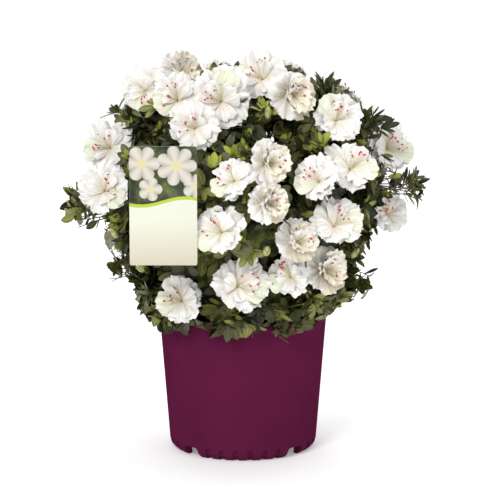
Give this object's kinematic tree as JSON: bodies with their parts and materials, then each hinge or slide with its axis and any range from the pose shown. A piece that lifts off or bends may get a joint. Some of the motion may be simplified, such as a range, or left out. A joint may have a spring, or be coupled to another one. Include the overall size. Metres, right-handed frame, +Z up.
{
  "type": "potted azalea shrub",
  "caption": "Rounded evergreen azalea shrub with ruffled white blooms, growing in a tapered nursery pot, with a plant tag hung on a twig.",
  "frame": {"origin": "on the ground under the middle of the pot, at the bottom centre of the whole plant", "axes": "+Z up along the stem, -Y towards the front where the plant tag hangs, +X to the right seen from the front"},
  "size_m": [0.5725, 0.5166, 0.626],
  "materials": {
    "pot_plastic": "satin moulded plastic, plum coloured",
    "potting_mix": "moist shredded bark mix",
    "bark": "fine, matt grey-brown bark",
    "foliage": "small leathery olive leaves, soft sheen, with thin white petals",
    "tag_card": "smooth printed plastic card"
  },
  "bodies": {
    "root": {"pot": "pot_plastic", "potting_soil": "potting_mix", "trunk": "bark", "main_bough_1": "bark", "main_bough_2": "bark", "main_bough_3": "bark", "main_bough_4": "bark", "main_bough_5": "bark", "bough_top_1": "bark", "bough_top_2": "bark", "bough_top_3": "bark", "bough_top_4": "bark", "bough_middle_1": "bark", "bough_middle_2": "bark", "bough_middle_3": "bark", "bough_middle_4": "bark", "bough_middle_5": "bark", "bough_middle_6": "bark", "bough_middle_7": "bark", "bough_lower_1": "bark", "bough_lower_2": "bark", "bough_lower_3": "bark", "bough_lower_4": "bark", "bough_lower_5": "bark", "bough_lower_6": "bark", "foliage_top_1": "foliage", "foliage_top_2": "foliage", "foliage_top_3": "foliage", "foliage_top_4": "foliage", "foliage_middle_1": "foliage", "foliage_middle_2": "foliage", "foliage_middle_3": "foliage", "foliage_middle_4": "foliage", "foliage_middle_5": "foliage", "foliage_middle_6": "foliage", "foliage_middle_7": "foliage", "foliage_lower_1": "foliage", "foliage_lower_2": "foliage", "foliage_lower_3": "foliage", "foliage_lower_4": "foliage", "foliage_lower_5": "foliage", "foliage_lower_6": "foliage", "plant_tag": "tag_card"}
  },
  "joints": []
}
